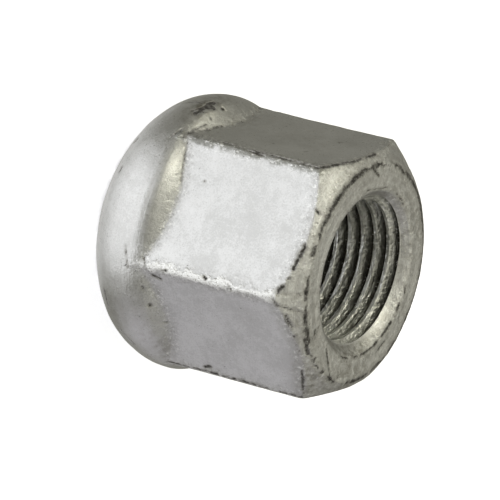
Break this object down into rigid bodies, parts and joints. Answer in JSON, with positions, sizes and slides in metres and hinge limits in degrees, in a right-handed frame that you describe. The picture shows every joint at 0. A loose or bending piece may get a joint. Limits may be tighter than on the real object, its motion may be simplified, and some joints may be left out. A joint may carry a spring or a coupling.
{
  "type": "wheel nut",
  "caption": "Tall hexagonal wheel nut with a threaded through bore, a round forged collar and a ball-shaped seat.",
  "frame": {"origin": "centre of the seat end, on the bore's axis", "axes": "+Z along the bore's axis, from the seat end to the hexagon's end face; +Y square to one of the hexagon's flats and +X through one of its corners"},
  "size_m": [0.028, 0.028, 0.0255],
  "materials": {
    "zinc_plate": "worn satin zinc plate on forged steel"
  },
  "bodies": {
    "root": {"wheel_nut": "zinc_plate"}
  },
  "joints": []
}
